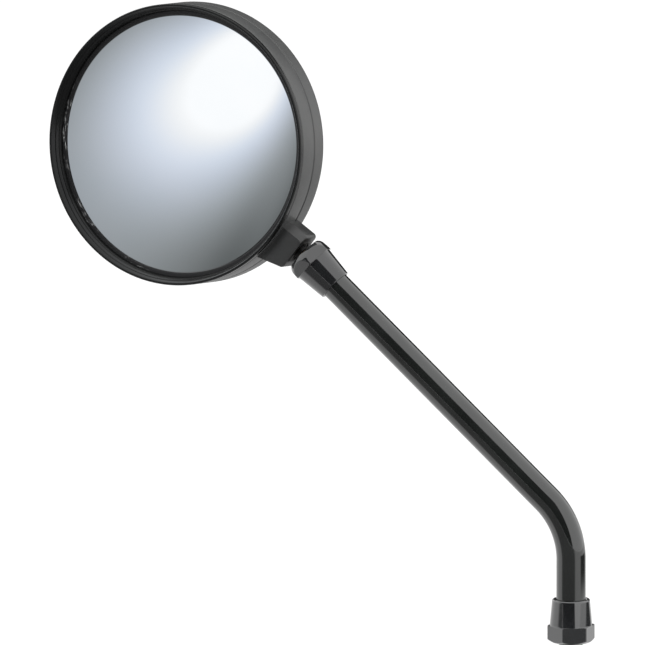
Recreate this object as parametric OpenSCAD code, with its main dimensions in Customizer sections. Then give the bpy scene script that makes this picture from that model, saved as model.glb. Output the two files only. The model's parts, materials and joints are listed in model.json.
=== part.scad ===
// Round motorcycle mirror on a bent stem, in millimetres.
// +Z goes up the foot of the stem, and the stem bends towards -X in the XZ plane.
// The origin is on the stem's foot axis, in the plane where the lock nut seats on the perch.
// The mirror faces -Y.

/* [Stem] */
// Outer diameter of the stem tube
stem_d = 12; // [11.5:0.1:12.4]
// Wall thickness of the stem tube
stem_wall = 1.5; // [1.2:0.1:1.8]
// Height of the point where the two straight axes of the stem would meet
corner_z = 48.3; // [46:0.5:60]
// Angle by which the upper stem leans away from the foot
bend = 47.5; // [35:0.5:60]
// Radius of the bend, at the tube's centre line
bend_r = 33; // [28:1:36]
// Length of the upper stem from the corner point to the centre of the ball
upper_len = 151.5; // [110:1:220]

/* [Foot thread and lock nut] */
// Major diameter of the foot thread
thread_d = 10; // [9.6:0.1:10.2]
// Length of the foot thread that stands out under the lock nut
thread_len = 22; // [16:1:30]
// Width across the flats of the lock nut
lock_af = 17; // [16.6:0.1:19]
// Height of the lock nut's hexagon
lock_hex_h = 6.8; // [6:0.1:8]
// Height of the whole lock nut
lock_h = 17.5; // [15:0.5:20]
// Diameter of the lock nut's small end
lock_top_d = 15.4; // [14.8:0.1:16]

/* [Ball joint] */
// Diameter of the ball
ball_d = 11; // [10.6:0.1:11.2]
// Diameter of the neck between the ball and the head
neck_d = 6; // [5:0.1:6.2]
// Width across the flats of the union nut
union_af = 17; // [16.6:0.1:18]
// Height of the union nut's hexagon
union_hex_h = 5.8; // [5:0.1:7]
// Distance from the ball's centre to the union nut's mouth
mouth_w = 4; // [3.8:0.05:4.1]
// Length of the whole union nut
union_h = 18.1; // [17:0.5:22]
// Diameter of the union nut's small end
union_end_d = 14.2; // [13.4:0.1:15]
// Angle by which the head is turned on the ball, in the stem's plane
swing = -6; // [-7:0.1:7]
// Angle by which the head leans on the ball, out of the stem's plane
lean = -9.4; // [-11:0.1:11]

/* [Head] */
// Outer diameter of the head
head_d = 115; // [110:1:130]
// Depth from the front of the rim to the seam between the two shells
seam_d = 12.9; // [12.4:0.1:14]
// Depth at which the side wall starts to round into the back
side_d = 20; // [19:0.1:22]
// Depth of the whole head at its middle
head_depth = 28.5; // [27:0.5:32]
// Radius of the round edge between side and back
edge_r = 4; // [3:0.5:5]
// Wall thickness of the shells
shell_wall = 2.4; // [2:0.1:2.8]
// Thickness of the glass
glass_t = 2; // [1.6:0.1:2.2]
// Radius of the glass's convex front
glass_curve_r = 1300; // [1000:50:2000]
// Depth of the glass's front surface at its edge
glass_d = 6.95; // [6.8:0.05:7.2]
// Thickness of the adhesive foam behind the glass
foam_t = 1.2; // [1:0.1:1.4]
// Number of screws that hold the glass carrier
screw_count = 4; // [3:1:4]
// Distance of the screws from the head's axis
screw_ring_r = 40; // [34:1:44]

/* [Neck block] */
// Depth of the neck's axis behind the front of the rim
neck_axis_d = 10.3; // [10:0.1:10.6]
// Depth of the neck block's front face behind the front of the rim
block_front_d = 4.6; // [4.4:0.1:5]
// Depth of the neck block's back face behind the front of the rim
block_back_d = 15.9; // [15.7:0.1:17]
// Width of the neck block's outer face
block_w = 16.6; // [15.6:0.1:17.4]
// Distance by which the block's middle stands to the left of the neck's axis
block_shift = 0.8; // [0:0.1:1]
// Distance from the head's side wall to the neck block's outer face
block_len = 10; // [9.4:0.1:12]
// Distance from the neck block's outer face to the centre of the ball
ball_gap = 6.2; // [6.2:0.1:8]

/* [Hidden] */
$fn = 96;
eps = 0.01;

stem_r = stem_d / 2;
bore_r = stem_r - stem_wall;
thread_r = thread_d / 2;
ball_r = ball_d / 2;
neck_r = neck_d / 2;
head_r = head_d / 2;

// Running clearance between pieces that turn or slide on each other
run = 0.1;
// Gap between pieces that are fitted once and stay put
seat = 0.05;

// Stem: how far the bend starts from the corner point
bend_leg = bend_r * tan(bend / 2);
// How far the straights lap over the ends of the bend, and how much thicker than the bend they are
bend_lap = 0.2;
bend_step = 0.01;
ball_pos = [-upper_len * sin(bend), 0, corner_z + upper_len * cos(bend)];

// Foot: the thread that the nut holds is drawn a little thinner than the free thread
core_r = thread_r - 0.2;
tube_end_z = 9;
foot_flange = 0.8;
foot_plug = 15;
tip_chamfer = 1;

// Lock nut
lock_r = lock_af / 2 / cos(30);
lock_bore_r = core_r + run;
lock_relief_r = stem_r + 0.2;
lock_relief_z = tube_end_z - foot_flange - 0.7;
lock_cone_r = lock_af / 2 + 0.2;
lock_overlap = 0.8;
lock_turn = 28.5;
lock_face = 0.5;
lock_chamfer = 1.2;
lock_lead = 0.6;
rim_round = 0.5;

// Ball joint, measured along the upper stem's axis from the ball's centre, towards the head
union_r = union_af / 2 / cos(30);
union_end_w = mouth_w - union_h;
union_hex_w = mouth_w - union_hex_h;
union_turn = -16.4;
union_nose_r = 8;
union_nose_angle = 44;
union_nose_w = union_hex_w + 0.25;
mouth_land = 1;
lip_w = 2.75;
ring_r = ball_r + run;
collar_r = ball_r - 0.15;
cavity_r = ball_r + 0.8;
cavity_w = -3.6;
seat_top_w = -0.6;
seat_foot_w = -4.2;
seat_play = 0.3;
seat_stub = 4;
seat_stub_tip = 0.8;
ring_foot_w = 0.4;
ring_slit = 1.2;
collar_rise = 0.35;
collar_round = 0.2;
neck_room = 1.3;
washer_t = 0.5;
tube_top_w = seat_foot_w - washer_t - seat;
thread_end_w = -10;
stem_thread_r = stem_r - 0.1;

// Head, measured from the front of the rim backwards, and outwards from its axis
lip_d = 2.8;
ring_foot_d = 6.3;
lip_groove = 0.4;
seam_groove = 0.3;
crest_r = 0.62;
window_step = 1.5;
nest_r = head_r - 1.3;
wall_r = head_r - shell_wall;
window_r = head_r - 4.8;
glass_r = wall_r - 1.1;
ledge_r = head_r - 5;
ledge_t = 1.2;
spigot_len = 2.4;
carrier_t = 2;
rib_t = 1.6;
rib_ring_r = 20;
pad_rim = 1.4;
plate_rim = 3;
post_r = 3.6;
pilot_r = 1.5;
pilot_spare = 1.2;
screw_head_r = 3.3;
screw_head_h = 2;
screw_recess = 1.2;
head_room = 0.3;
cross_len = 3.4;
cross_w = 0.8;
cross_depth = 1;
carrier_back = seam_d + ledge_t + seat;
shell_front_d = seam_d + 0.25;

// Neck block and what it holds. It widens towards the head by its flares.
block_q = head_r + block_len;
block_root = 0.6;
block_bevel = 2.6;
block_corner = 1.5;
flare_left = 3.8;
flare_right = -0.6;
ball_q = block_q + ball_gap;
insert_r = 4.2;
insert_len = 7.6;
insert_sink = 0.2;
insert_groove = 0.6;
insert_groove_d = 0.5;
insert_spare = 0.6;
shank_r = 3;
shank_len = 7;

function names(stem, n) = [for (i = [1 : n]) str(stem, "_", i)];

// Points on an arc round centre c, from angle a0 to angle a1
function arc(c, r, a0, a1, n = 8) =
    [for (i = [0 : n]) c + r * [cos(a0 + (a1 - a0) * i / n), sin(a0 + (a1 - a0) * i / n)]];

// How far a dome of radius r falls away at distance x from its top
function sag(r, x) = r - sqrt(r * r - x * x);

// Points along the glass's curve, at depth d on the axis, from radius r0 to r1
function lens(d, r0, r1, n = 9) =
    [for (i = [0 : n]) let (x = r0 + (r1 - r0) * i / n) [x, d + sag(glass_curve_r, x)]];

// Depth on the axis of the glass's front, its back, and the back of the foam
glass_top = glass_d - sag(glass_curve_r, glass_r);
glass_back = glass_top + glass_t;
foam_back = glass_back + foam_t;

// The round edge leaves some rise for the dome, however shallow the back is
dome_rise = head_depth - side_d;
dome_least = 0.75;
back_edge_r = min(edge_r, dome_rise - dome_least);

// Radius of the back's dome, which runs smoothly into the round edge
dome_x = head_r - back_edge_r;
dome_r = (dome_x * dome_x + dome_rise * dome_rise - back_edge_r * back_edge_r)
    / (2 * (dome_rise - back_edge_r));
dome_angle = asin(dome_x / (dome_r - back_edge_r));

// Depth of the back's inner face where the posts stand, and of the screws' heads and tips
post_foot_d = head_depth - sag(dome_r, screw_ring_r + post_r) - shell_wall;
screw_under = carrier_back - screw_recess - seat;
screw_tip = post_foot_d - pilot_spare;

// Profile of the back from the axis out to the side wall, grown inwards by t
function back_profile(t) = concat(
    [for (i = [0 : 8]) let (a = dome_angle * i / 8)
        [(dome_r - t) * sin(a), head_depth - dome_r + (dome_r - t) * cos(a)]],
    arc([dome_x, side_d], back_edge_r - t, 90 - dome_angle, 0));

// Stands the head's profile of [radius, depth] points up round the head's axis
module turned(points) {
    mirror([0, 0, 1]) rotate_extrude() polygon(points);
}

// A ring with a plain rectangular section
module band(r_in, r_out, low, high) {
    difference() {
        translate([0, 0, low]) cylinder(r = r_out, h = high - low);
        translate([0, 0, low - 1]) cylinder(r = r_in, h = high - low + 2);
    }
}

// Places what is drawn round the upper stem's axis, with the ball's centre at its origin
module at_ball() {
    translate(ball_pos) rotate([0, -bend, 0]) children();
}

// Turns the neck's axis up, with the ball's centre at the origin and -Z towards the stem
module at_neck() {
    at_ball() rotate([0, swing, 0]) rotate([lean, 0, 0]) children();
}

// Places what is drawn round the head's axis, with its neck along -Y
module at_head() {
    at_neck() rotate([90, 0, 0]) translate([0, ball_q, neck_axis_d]) children();
}

// The run of the stem at radius r, from the foot to the top, with extra length at both ends
module stem_run(r, extra) {
    foot = tube_end_z - extra;
    straight = upper_len - bend_leg + bend_lap;
    translate([0, 0, foot]) cylinder(r = r + bend_step, h = corner_z - bend_leg + bend_lap - foot);
    translate([-bend_r, 0, corner_z - bend_leg]) rotate([90, 0, 0])
        rotate_extrude(angle = bend) translate([bend_r, 0]) circle(r = r);
    at_ball() translate([0, 0, -straight]) cylinder(r = r + bend_step, h = straight + tube_top_w + extra);
}

module stem_tube() {
    color([0.10, 0.10, 0.11]) difference() {
        stem_run(stem_r - bend_step, 0);
        stem_run(bore_r - bend_step, 1);
        // the top end is turned down for its thread
        at_ball() band(stem_thread_r, stem_r + 1, thread_end_w, tube_top_w + 1);
    }
}

module stem_foot() {
    color([0.62, 0.62, 0.60]) {
        rotate_extrude() polygon([
            [0, -thread_len],
            [thread_r - tip_chamfer, -thread_len],
            [thread_r, -thread_len + tip_chamfer],
            [thread_r, 0],
            [core_r, 0],
            [core_r, tube_end_z - foot_flange],
            [stem_r - run, tube_end_z - foot_flange],
            [stem_r - run, tube_end_z],
            [bore_r - seat, tube_end_z],
            [bore_r - seat, tube_end_z + foot_plug - tip_chamfer],
            [bore_r - seat - tip_chamfer, tube_end_z + foot_plug],
            [0, tube_end_z + foot_plug]]);
    }
}

module lock_nut() {
    color([0.09, 0.09, 0.10]) difference() {
        union() {
            // hexagon with its lower corners chamfered
            intersection() {
                rotate([0, 0, lock_turn]) cylinder(r = lock_r, h = lock_hex_h, $fn = 6);
                rotate_extrude() polygon([
                    [0, 0], [lock_af / 2 - lock_face, 0], [lock_r, lock_chamfer],
                    [lock_r, lock_hex_h - 0.2], [lock_r - 0.3, lock_hex_h], [0, lock_hex_h]]);
            }
            // cone that covers the end of the tube
            rotate_extrude() polygon([
                [0, lock_hex_h - lock_overlap],
                [lock_cone_r, lock_hex_h - lock_overlap],
                [lock_top_d / 2, lock_h - rim_round],
                [lock_top_d / 2 - rim_round * 0.3, lock_h - rim_round * 0.3],
                [lock_top_d / 2 - rim_round, lock_h],
                [0, lock_h]]);
        }
        translate([0, 0, -1]) cylinder(r = lock_bore_r, h = lock_h + 2);
        translate([0, 0, lock_relief_z]) cylinder(r = lock_relief_r, h = lock_h);
        translate([0, 0, -eps]) cylinder(r1 = lock_bore_r + lock_lead, r2 = lock_bore_r, h = lock_lead);
        translate([0, 0, lock_h - 0.4]) cylinder(r1 = lock_relief_r, r2 = lock_relief_r + 0.5, h = 0.5);
    }
}

module union_nut() {
    color([0.09, 0.09, 0.10]) at_ball() difference() {
        union() {
            // hexagon with a long rounded nose towards the mouth
            intersection() {
                rotate([0, 0, union_turn]) translate([0, 0, union_hex_w])
                    cylinder(r = union_r, h = union_hex_h, $fn = 6);
                rotate_extrude() polygon(concat(
                    [[0, union_hex_w], [union_r - 0.3, union_hex_w], [union_r, union_hex_w + 0.2]],
                    arc([union_r - union_nose_r, union_nose_w], union_nose_r, 0, union_nose_angle, 6),
                    [[union_af / 2 - mouth_land, mouth_w], [0, mouth_w]]));
            }
            // cone that runs down the stem
            rotate_extrude() polygon([
                [0, union_hex_w + 0.6],
                [union_af / 2 - 0.05, union_hex_w + 0.6],
                [union_end_d / 2, union_end_w + 0.3],
                [union_end_d / 2 - 0.25, union_end_w],
                [0, union_end_w]]);
        }
        // mouth, cavity for the ball and its seat, thread, and relief round the tube
        rotate_extrude() polygon([
            [0, mouth_w + 1],
            [collar_r + run, mouth_w + 1],
            [collar_r + run, lip_w],
            [cavity_r, lip_w],
            [cavity_r, cavity_w],
            [stem_r, cavity_w],
            [stem_r, thread_end_w + 0.2],
            [stem_r + 0.2, thread_end_w + 0.2],
            [stem_r + 0.2, union_end_w - 1],
            [0, union_end_w - 1]]);
    }
}

// Split ring that the union nut pulls against the ball. Its collar shows in the mouth.
module clamp_ring() {
    collar_top = mouth_w + collar_rise;
    color([0.62, 0.50, 0.28]) at_ball() difference() {
        rotate_extrude() polygon([
            [0, ring_foot_w],
            [cavity_r - run, ring_foot_w],
            [cavity_r - run, lip_w - seat],
            [collar_r, lip_w - seat],
            [collar_r, collar_top - collar_round],
            [collar_r - collar_round, collar_top],
            [0, collar_top]]);
        sphere(r = ring_r);
        cylinder(r = neck_r + neck_room, h = collar_top + 1);
        translate([0, -ring_slit / 2, -1]) cube([ball_d, ring_slit, collar_top + 2]);
    }
}

module ball_seat() {
    color([0.86, 0.84, 0.78]) at_ball() difference() {
        rotate_extrude() polygon([
            [0, seat_top_w],
            [cavity_r - seat_play, seat_top_w],
            [cavity_r - seat_play, seat_foot_w],
            [bore_r - run, seat_foot_w],
            [bore_r - run, seat_foot_w - seat_stub],
            [bore_r - run - seat_stub_tip, seat_foot_w - seat_stub - seat_stub_tip],
            [0, seat_foot_w - seat_stub - seat_stub_tip]]);
        sphere(r = ring_r);
    }
}

module seat_washer() {
    color([0.70, 0.70, 0.70]) at_ball()
        band(bore_r + seat, stem_thread_r, seat_foot_w - washer_t - seat / 2, seat_foot_w - seat / 2);
}

// Ball, neck and threaded shank, turned from one bar
module ball_stud() {
    color([0.10, 0.10, 0.10]) at_neck() {
        sphere(r = ball_r);
        cylinder(r = neck_r, h = ball_gap);
        translate([0, 0, ball_gap]) cylinder(r = shank_r, h = shank_len);
    }
}

module neck_insert() {
    color([0.12, 0.12, 0.12]) at_neck() difference() {
        translate([0, 0, ball_gap + insert_sink]) union() {
            cylinder(r = insert_r, h = insert_len / 2 - insert_groove);
            cylinder(r = insert_r - insert_groove_d, h = insert_len);
            translate([0, 0, insert_len / 2 + insert_groove])
                cylinder(r = insert_r, h = insert_len / 2 - insert_groove);
        }
        translate([0, 0, ball_gap]) cylinder(r = shank_r + seat, h = insert_len + 1);
    }
}

// The block that carries the ball stud: its outline from the front, cut to its section along the neck
module neck_block() {
    right = block_w / 2 - block_shift;
    left = -block_w / 2 - block_shift;
    root = left - flare_left;
    intersection() {
        translate([0, 0, -head_depth]) linear_extrude(head_depth) polygon(concat(
            [[right + flare_right, -head_r + block_corner]],
            arc([right - block_corner, -block_q + block_corner], block_corner, 0, -90, 4),
            arc([left + block_corner, -block_q + block_corner], block_corner, -90, -160, 4),
            [[root, -head_r + block_corner]]));
        rotate([90, 0, 0]) linear_extrude(block_q + 1) polygon([
            [right, -block_front_d - block_bevel],
            [right - block_bevel, -block_front_d],
            [root, -block_front_d],
            [root, -block_back_d],
            [right, -block_back_d]]);
    }
}

// Position of the screw with number i, in the head's frame
module at_screw(i) {
    rotate([0, 0, 45 + 360 * (i - 1) / screw_count]) translate([screw_ring_r, 0, 0]) children();
}

module rear_shell() {
    inner_front = seam_d + spigot_len + 0.2;
    color([0.16, 0.16, 0.17]) at_head() {
        difference() {
            turned(concat(
                [[0, shell_front_d]],
                back_profile(0),
                [[head_r, shell_front_d + seam_groove],
                 [head_r - seam_groove, shell_front_d]]));
            // hollow of the shell, with a wider step where the front ring's spigot goes in
            turned(concat(
                [[0, 0]],
                back_profile(shell_wall),
                [[wall_r, inner_front], [nest_r + seat, inner_front], [nest_r + seat, 0]]));
        }
        // posts that the carrier is screwed to
        for (i = [1 : screw_count]) at_screw(i) difference() {
            deep = post_foot_d + 0.4;
            translate([0, 0, -deep]) cylinder(r = post_r, h = deep - carrier_back - seat);
            translate([0, 0, -post_foot_d]) cylinder(r = pilot_r, h = post_foot_d);
        }
    }
}

// Front half of the housing, moulded with the neck block
module front_ring() {
    color([0.17, 0.17, 0.18]) at_head() difference() {
        union() {
            turned([
                [nest_r + seat, lip_d],
                [head_r - lip_groove, lip_d],
                [head_r, lip_d + lip_groove],
                [head_r, seam_d - seam_groove],
                [head_r - seam_groove, seam_d],
                [nest_r - seat, seam_d],
                [nest_r - seat, seam_d + spigot_len],
                [wall_r - 0.1, seam_d + spigot_len],
                [wall_r - 0.1, seam_d + ledge_t],
                [ledge_r, seam_d + ledge_t],
                [ledge_r, seam_d],
                [wall_r + 0.1, seam_d],
                [wall_r + 0.1, ring_foot_d + 0.1],
                [nest_r + seat, ring_foot_d + 0.1]]);
            // the block stands on the ring's wall, and reaches past the seam outside the rear shell
            difference() {
                neck_block();
                turned([
                    [0, 0],
                    [head_r - block_root, 0],
                    [head_r - block_root, seam_d - block_root],
                    [head_r + 2 * seat, seam_d - block_root],
                    [head_r + 2 * seat, head_depth],
                    [0, head_depth]]);
            }
        }
        // seat of the threaded insert
        translate([0, -block_q + insert_len + insert_spare, -neck_axis_d]) rotate([90, 0, 0])
            cylinder(r = insert_r + seat, h = insert_len + 2);
    }
}

module rim_ring() {
    color([0.12, 0.12, 0.13]) at_head() turned(concat(
        [[window_r + window_step, ring_foot_d],
         [head_r - 2 * crest_r, crest_r]],
        arc([head_r - crest_r, crest_r], crest_r, 180, 360, 10),
        [[head_r, lip_d - 0.5],
         [head_r - lip_groove, lip_d - seat],
         [nest_r - seat, lip_d - seat],
         [nest_r - seat, ring_foot_d]]));
}

module mirror_glass() {
    color([0.72, 0.76, 0.80]) at_head() turned(concat(
        lens(glass_top, 0, glass_r - 0.4),
        [[glass_r, glass_d + 0.4]],
        lens(glass_back, glass_r, 0)));
}

// Rubber ring that wraps the edge of the glass
module glass_gasket() {
    top = ring_foot_d + seat;
    under = glass_d - sag(glass_curve_r, glass_r) + sag(glass_curve_r, window_r) - seat;
    skirt = foam_back + sag(glass_curve_r, glass_r) - 0.1;
    color([0.08, 0.08, 0.08]) at_head() turned([
        [window_r, under],
        [window_r, top + 0.3],
        [window_r + 0.3, top],
        [wall_r, top],
        [wall_r, skirt],
        [glass_r + seat, skirt],
        [glass_r + seat, glass_d - seat]]);
}

module glass_foam() {
    color([0.30, 0.30, 0.30]) at_head() turned(concat(
        lens(glass_back + 0.02, 0, glass_r - 1),
        lens(foam_back - 0.02, glass_r - 1, 0)));
}

// Dished plate with a stiffening web, screwed to the posts of the rear shell
module glass_carrier() {
    plate_r = glass_r;
    pad_r = screw_head_r + pad_rim;
    rib_foot = seam_d - 0.2;
    web_top = foam_back + 1.4;
    color([0.22, 0.22, 0.23]) at_head() difference() {
        union() {
            turned(concat(
                lens(foam_back, 0, plate_r),
                [[plate_r, seam_d - seat], [plate_r - plate_rim, seam_d - seat]],
                lens(foam_back + carrier_t, plate_r - plate_rim - 2, 0)));
            // web of ribs behind the plate
            intersection() {
                union() {
                    for (a = [0 : 30 : 150]) rotate([0, 0, a])
                        translate([-plate_r, -rib_t / 2, -rib_foot])
                            cube([2 * plate_r, rib_t, rib_foot - web_top]);
                    band(rib_ring_r - rib_t, rib_ring_r, -rib_foot, -web_top);
                }
                translate([0, 0, -head_depth]) cylinder(r = plate_r - 2, h = head_depth);
            }
            for (i = [1 : screw_count]) at_screw(i)
                translate([0, 0, -carrier_back]) cylinder(r = pad_r, h = carrier_back - web_top);
        }
        for (i = [1 : screw_count]) at_screw(i) {
            translate([0, 0, -carrier_back - 1]) cylinder(r = pilot_r + head_room, h = head_depth);
            translate([0, 0, -carrier_back + screw_recess])
                cylinder(r = screw_head_r + head_room, h = head_depth);
        }
    }
}

// Pan-head screw with a cross recess
module carrier_screw(i) {
    color([0.75, 0.75, 0.74]) at_head() at_screw(i) difference() {
        union() {
            translate([0, 0, -screw_under])
                cylinder(r1 = screw_head_r, r2 = screw_head_r - 0.6, h = screw_head_h);
            translate([0, 0, -screw_tip]) cylinder(r = pilot_r - seat, h = screw_tip - screw_under + 1);
        }
        for (a = [0, 90]) rotate([0, 0, a])
            translate([-cross_len / 2, -cross_w / 2, -screw_under + screw_head_h - cross_depth])
                cube([cross_len, cross_w, cross_depth + 1]);
    }
}

stem_tube();
stem_foot();
lock_nut();
union_nut();
clamp_ring();
ball_seat();
seat_washer();
ball_stud();
neck_insert();
rear_shell();
front_ring();
rim_ring();
mirror_glass();
glass_gasket();
glass_foam();
glass_carrier();
for (i = [1 : screw_count])
    carrier_screw(i);
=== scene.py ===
# Round motorcycle mirror on a bent stem: finishes, close detail and a small white studio.
import json
import math

import bmesh
import bpy
from mathutils import Matrix, Vector


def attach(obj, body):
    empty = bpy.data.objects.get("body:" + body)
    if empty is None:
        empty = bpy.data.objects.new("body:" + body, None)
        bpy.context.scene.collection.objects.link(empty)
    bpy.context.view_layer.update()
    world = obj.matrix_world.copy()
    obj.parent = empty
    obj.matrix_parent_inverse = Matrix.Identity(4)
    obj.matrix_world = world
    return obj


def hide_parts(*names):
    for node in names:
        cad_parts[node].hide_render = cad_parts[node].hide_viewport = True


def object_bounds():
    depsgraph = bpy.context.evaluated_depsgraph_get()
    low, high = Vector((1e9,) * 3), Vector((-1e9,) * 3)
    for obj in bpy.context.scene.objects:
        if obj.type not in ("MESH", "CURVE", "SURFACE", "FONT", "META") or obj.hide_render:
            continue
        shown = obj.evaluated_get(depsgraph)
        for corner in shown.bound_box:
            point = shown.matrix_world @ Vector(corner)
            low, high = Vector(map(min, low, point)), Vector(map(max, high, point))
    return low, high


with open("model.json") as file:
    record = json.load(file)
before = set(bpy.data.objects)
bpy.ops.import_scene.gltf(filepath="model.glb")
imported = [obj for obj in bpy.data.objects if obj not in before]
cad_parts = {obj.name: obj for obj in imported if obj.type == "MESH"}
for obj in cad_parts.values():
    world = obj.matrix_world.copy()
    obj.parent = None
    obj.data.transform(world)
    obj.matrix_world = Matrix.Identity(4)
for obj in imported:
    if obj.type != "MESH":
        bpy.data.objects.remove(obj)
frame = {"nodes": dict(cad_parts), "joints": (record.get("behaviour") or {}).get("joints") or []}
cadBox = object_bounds()
joints = {joint["name"]: joint for joint in frame["joints"]}
mm = 0.001
upward = Vector((0, 0, 1))
backward = Vector((0, 1, 0))     # the glass faces the other way
print("frame loaded:", len(frame["nodes"]), "nodes")


# node trees

class Wire:
    # one socket of a tree, with the operators that the expressions below use
    def __init__(self, tree, socket):
        self.tree = tree
        self.socket = socket

    def math(self, operation, *others):
        values = dict(enumerate((self,) + others))
        return node(self.tree, "ShaderNodeMath", {"operation": operation}, values)

    def __add__(self, other):
        return self.math("ADD", other)

    def __sub__(self, other):
        return self.math("SUBTRACT", other)

    def __rsub__(self, other):
        return (self * -1.0).math("ADD", other)

    def __mul__(self, other):
        return self.math("MULTIPLY", other)

    def __truediv__(self, other):
        return self.math("DIVIDE", other)

    __radd__ = __add__
    __rmul__ = __mul__

    def smaller(self, other):
        return self.math("MINIMUM", other)

    def larger(self, other):
        return self.math("MAXIMUM", other)

    def step(self, low, high):
        # 0 below low, 1 above high, smooth between
        values = {0: self, 1: low, 2: high, 3: 0.0, 4: 1.0}
        return node(self.tree, "ShaderNodeMapRange", {"interpolation_type": "SMOOTHSTEP"}, values)


def node(tree, kind, settings=None, values=None, out=0):
    # a new node: its settings first, then the values or wires of its sockets
    made = tree.nodes.new(kind)
    for key, value in (settings or {}).items():
        setattr(made, key, value)
    for key, value in (values or {}).items():
        slot = made.inputs[key]
        if isinstance(value, Wire):
            tree.links.new(value.socket, slot)
        else:
            slot.default_value = value
    return Wire(tree, made.outputs[out]) if len(made.outputs) else made


def separated(vector):
    made = node(vector.tree, "ShaderNodeSeparateXYZ", None, {0: vector}).socket.node
    return [Wire(vector.tree, socket) for socket in made.outputs]


def objectPoint(tree):
    return node(tree, "ShaderNodeTexCoord", None, None, "Object")


def mixedColour(factor, first, second):
    return node(factor.tree, "ShaderNodeMix", {"data_type": "RGBA"}, {0: factor, 6: first, 7: second}, 2)


def noise(point, scale, detail=2.0, roughness=0.5):
    values = {"Vector": point, "Scale": scale, "Detail": detail, "Roughness": roughness}
    return node(point.tree, "ShaderNodeTexNoise", None, values)


def bump(height, strength, distance):
    values = {"Strength": strength, "Distance": distance, "Height": height}
    return node(height.tree, "ShaderNodeBump", None, values)


def toned(base, amounts=(1.0, 1.0, 1.0)):
    # a colour with each channel scaled, as a socket takes it
    return tuple(channel * amount for channel, amount in zip(base, amounts)) + (1.0,)


def grey(level):
    return (level, level, level, 1.0)


def emptyTree(owner):
    # the cleared node tree of a material or world
    owner.use_nodes = True
    owner.node_tree.nodes.clear()
    return owner.node_tree


def finish(name, build, constants):
    # a material: build(tree, point) gives the varying sockets, constants the rest
    material = bpy.data.materials.new(name)
    tree = emptyTree(material)
    varying = build(tree, objectPoint(tree))
    shader = node(tree, "ShaderNodeBsdfPrincipled", None, {**constants, **varying})
    node(tree, "ShaderNodeOutputMaterial", None, {"Surface": shader})
    return material


# finishes; scales are per metre, heights in metres, tones are times the base colour

patchEdge = (0.3, 0.7)     # where a cloudy patch begins and where it is full

enamel = {
    "cloudScale": 60.0, "cloudTone": (1.5, 1.5, 1.5), "dullEdge": (0.45, 0.75), "dullRough": 0.05,
    "peelScale": 500.0, "peelRough": 0.02, "peelHeight": 0.00002,
    "roughness": 0.07, "coatRoughness": 0.03,
}


def lacquer(name, base, peel, shine, depth):
    # gloss black enamel: deep base, faint orange peel and a few duller patches
    def build(tree, point):
        cloud = noise(point, enamel["cloudScale"], 3.0)
        fine = noise(point, enamel["peelScale"])
        dull = cloud.step(*enamel["dullEdge"])
        return {
            "Base Color": mixedColour(cloud.step(*patchEdge), toned(base), toned(base, enamel["cloudTone"])),
            "Roughness": enamel["roughness"] + dull * enamel["dullRough"] + fine * enamel["peelRough"],
            "Normal": bump(fine, peel, enamel["peelHeight"]),
        }
    return finish(name, build, {"Specular IOR Level": shine, "Coat Weight": 1.0, "Coat IOR": depth,
                                "Coat Roughness": enamel["coatRoughness"]})


moulding = {
    "cloudScale": 35.0, "cloudTone": (1.35, 1.33, 1.3), "cloudRough": 0.06,
    "pitRough": 0.08, "pitHeight": 0.00006, "paintedShade": (0.004, 0.0042, 0.0042),
}


def grained(name, base, roughness, grain, size, shine=0.6, shade=None):
    # moulded plastic with a fine spark-eroded grain; shade(point) is how much painted shade darkens it there
    def build(tree, point):
        cloud = noise(point, moulding["cloudScale"], 4.0, 0.6)
        pits = noise(point, size, 3.0, 0.65)
        colour = mixedColour(cloud.step(*patchEdge), toned(base), toned(base, moulding["cloudTone"]))
        if shade:
            # painted shade, where shade(point) asks for it
            colour = mixedColour(shade(point), colour, toned(moulding["paintedShade"]))
        return {
            "Base Color": colour,
            "Roughness": roughness + cloud * moulding["cloudRough"] + pits * moulding["pitRough"],
            "Normal": bump(pits, grain, moulding["pitHeight"]),
        }
    return finish(name, build, {"Specular IOR Level": shine})


brushing = {
    "cloudScale": 80.0, "cloudRough": 0.05, "darkTone": (0.8, 0.8, 0.8),
    "scratchScale": (300.0, 300.0, 2500.0), "scratchRough": 0.12, "scratchHeight": 0.00003,
}


def metal(name, base, roughness, scratch):
    # turned or plated metal with fine marks across its length
    def build(tree, point):
        cloud = noise(point, brushing["cloudScale"], 3.0)
        drawn = node(tree, "ShaderNodeMapping", None, {"Vector": point, "Scale": brushing["scratchScale"]})
        brushed = noise(drawn, 1.0, 3.0)
        tone = (cloud * 0.5 + brushed * 0.5).step(*patchEdge)
        return {
            "Base Color": mixedColour(tone, toned(base, brushing["darkTone"]), toned(base)),
            "Roughness": roughness + brushed * brushing["scratchRough"] + cloud * brushing["cloudRough"],
            "Normal": bump(brushed, scratch, brushing["scratchHeight"]),
        }
    return finish(name, build, {"Metallic": 1.0})


silvering = {
    "hazeScale": 25.0, "low": (0.90, 0.925, 0.945), "high": (0.93, 0.945, 0.96),
    "roughness": 0.03, "hazeRough": 0.02,
}


def mirrorFinish():
    # silvered glass, with the faintest haze
    def build(tree, point):
        haze = noise(point, silvering["hazeScale"], 3.0)
        low, high = toned(silvering["low"]), toned(silvering["high"])
        return {
            "Base Color": mixedColour(haze.step(*patchEdge), low, high),
            "Roughness": silvering["roughness"] + haze * silvering["hazeRough"],
        }
    return finish("mirror_silver", build, {"Metallic": 1.0, "Coat Weight": 1.0, "Coat Roughness": 0.0})


# name, base, orange peel, shine, coat's index
stemPaint = lacquer("stem_paint", (0.006, 0.007, 0.0065), 0.05, 0.8, 1.65)
nutPaint = lacquer("nut_paint", (0.006, 0.0065, 0.007), 0.03, 0.8, 1.68)
footNutPaint = lacquer("foot_nut_paint", (0.006, 0.0065, 0.0075), 0.03, 1.0, 1.9)
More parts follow.
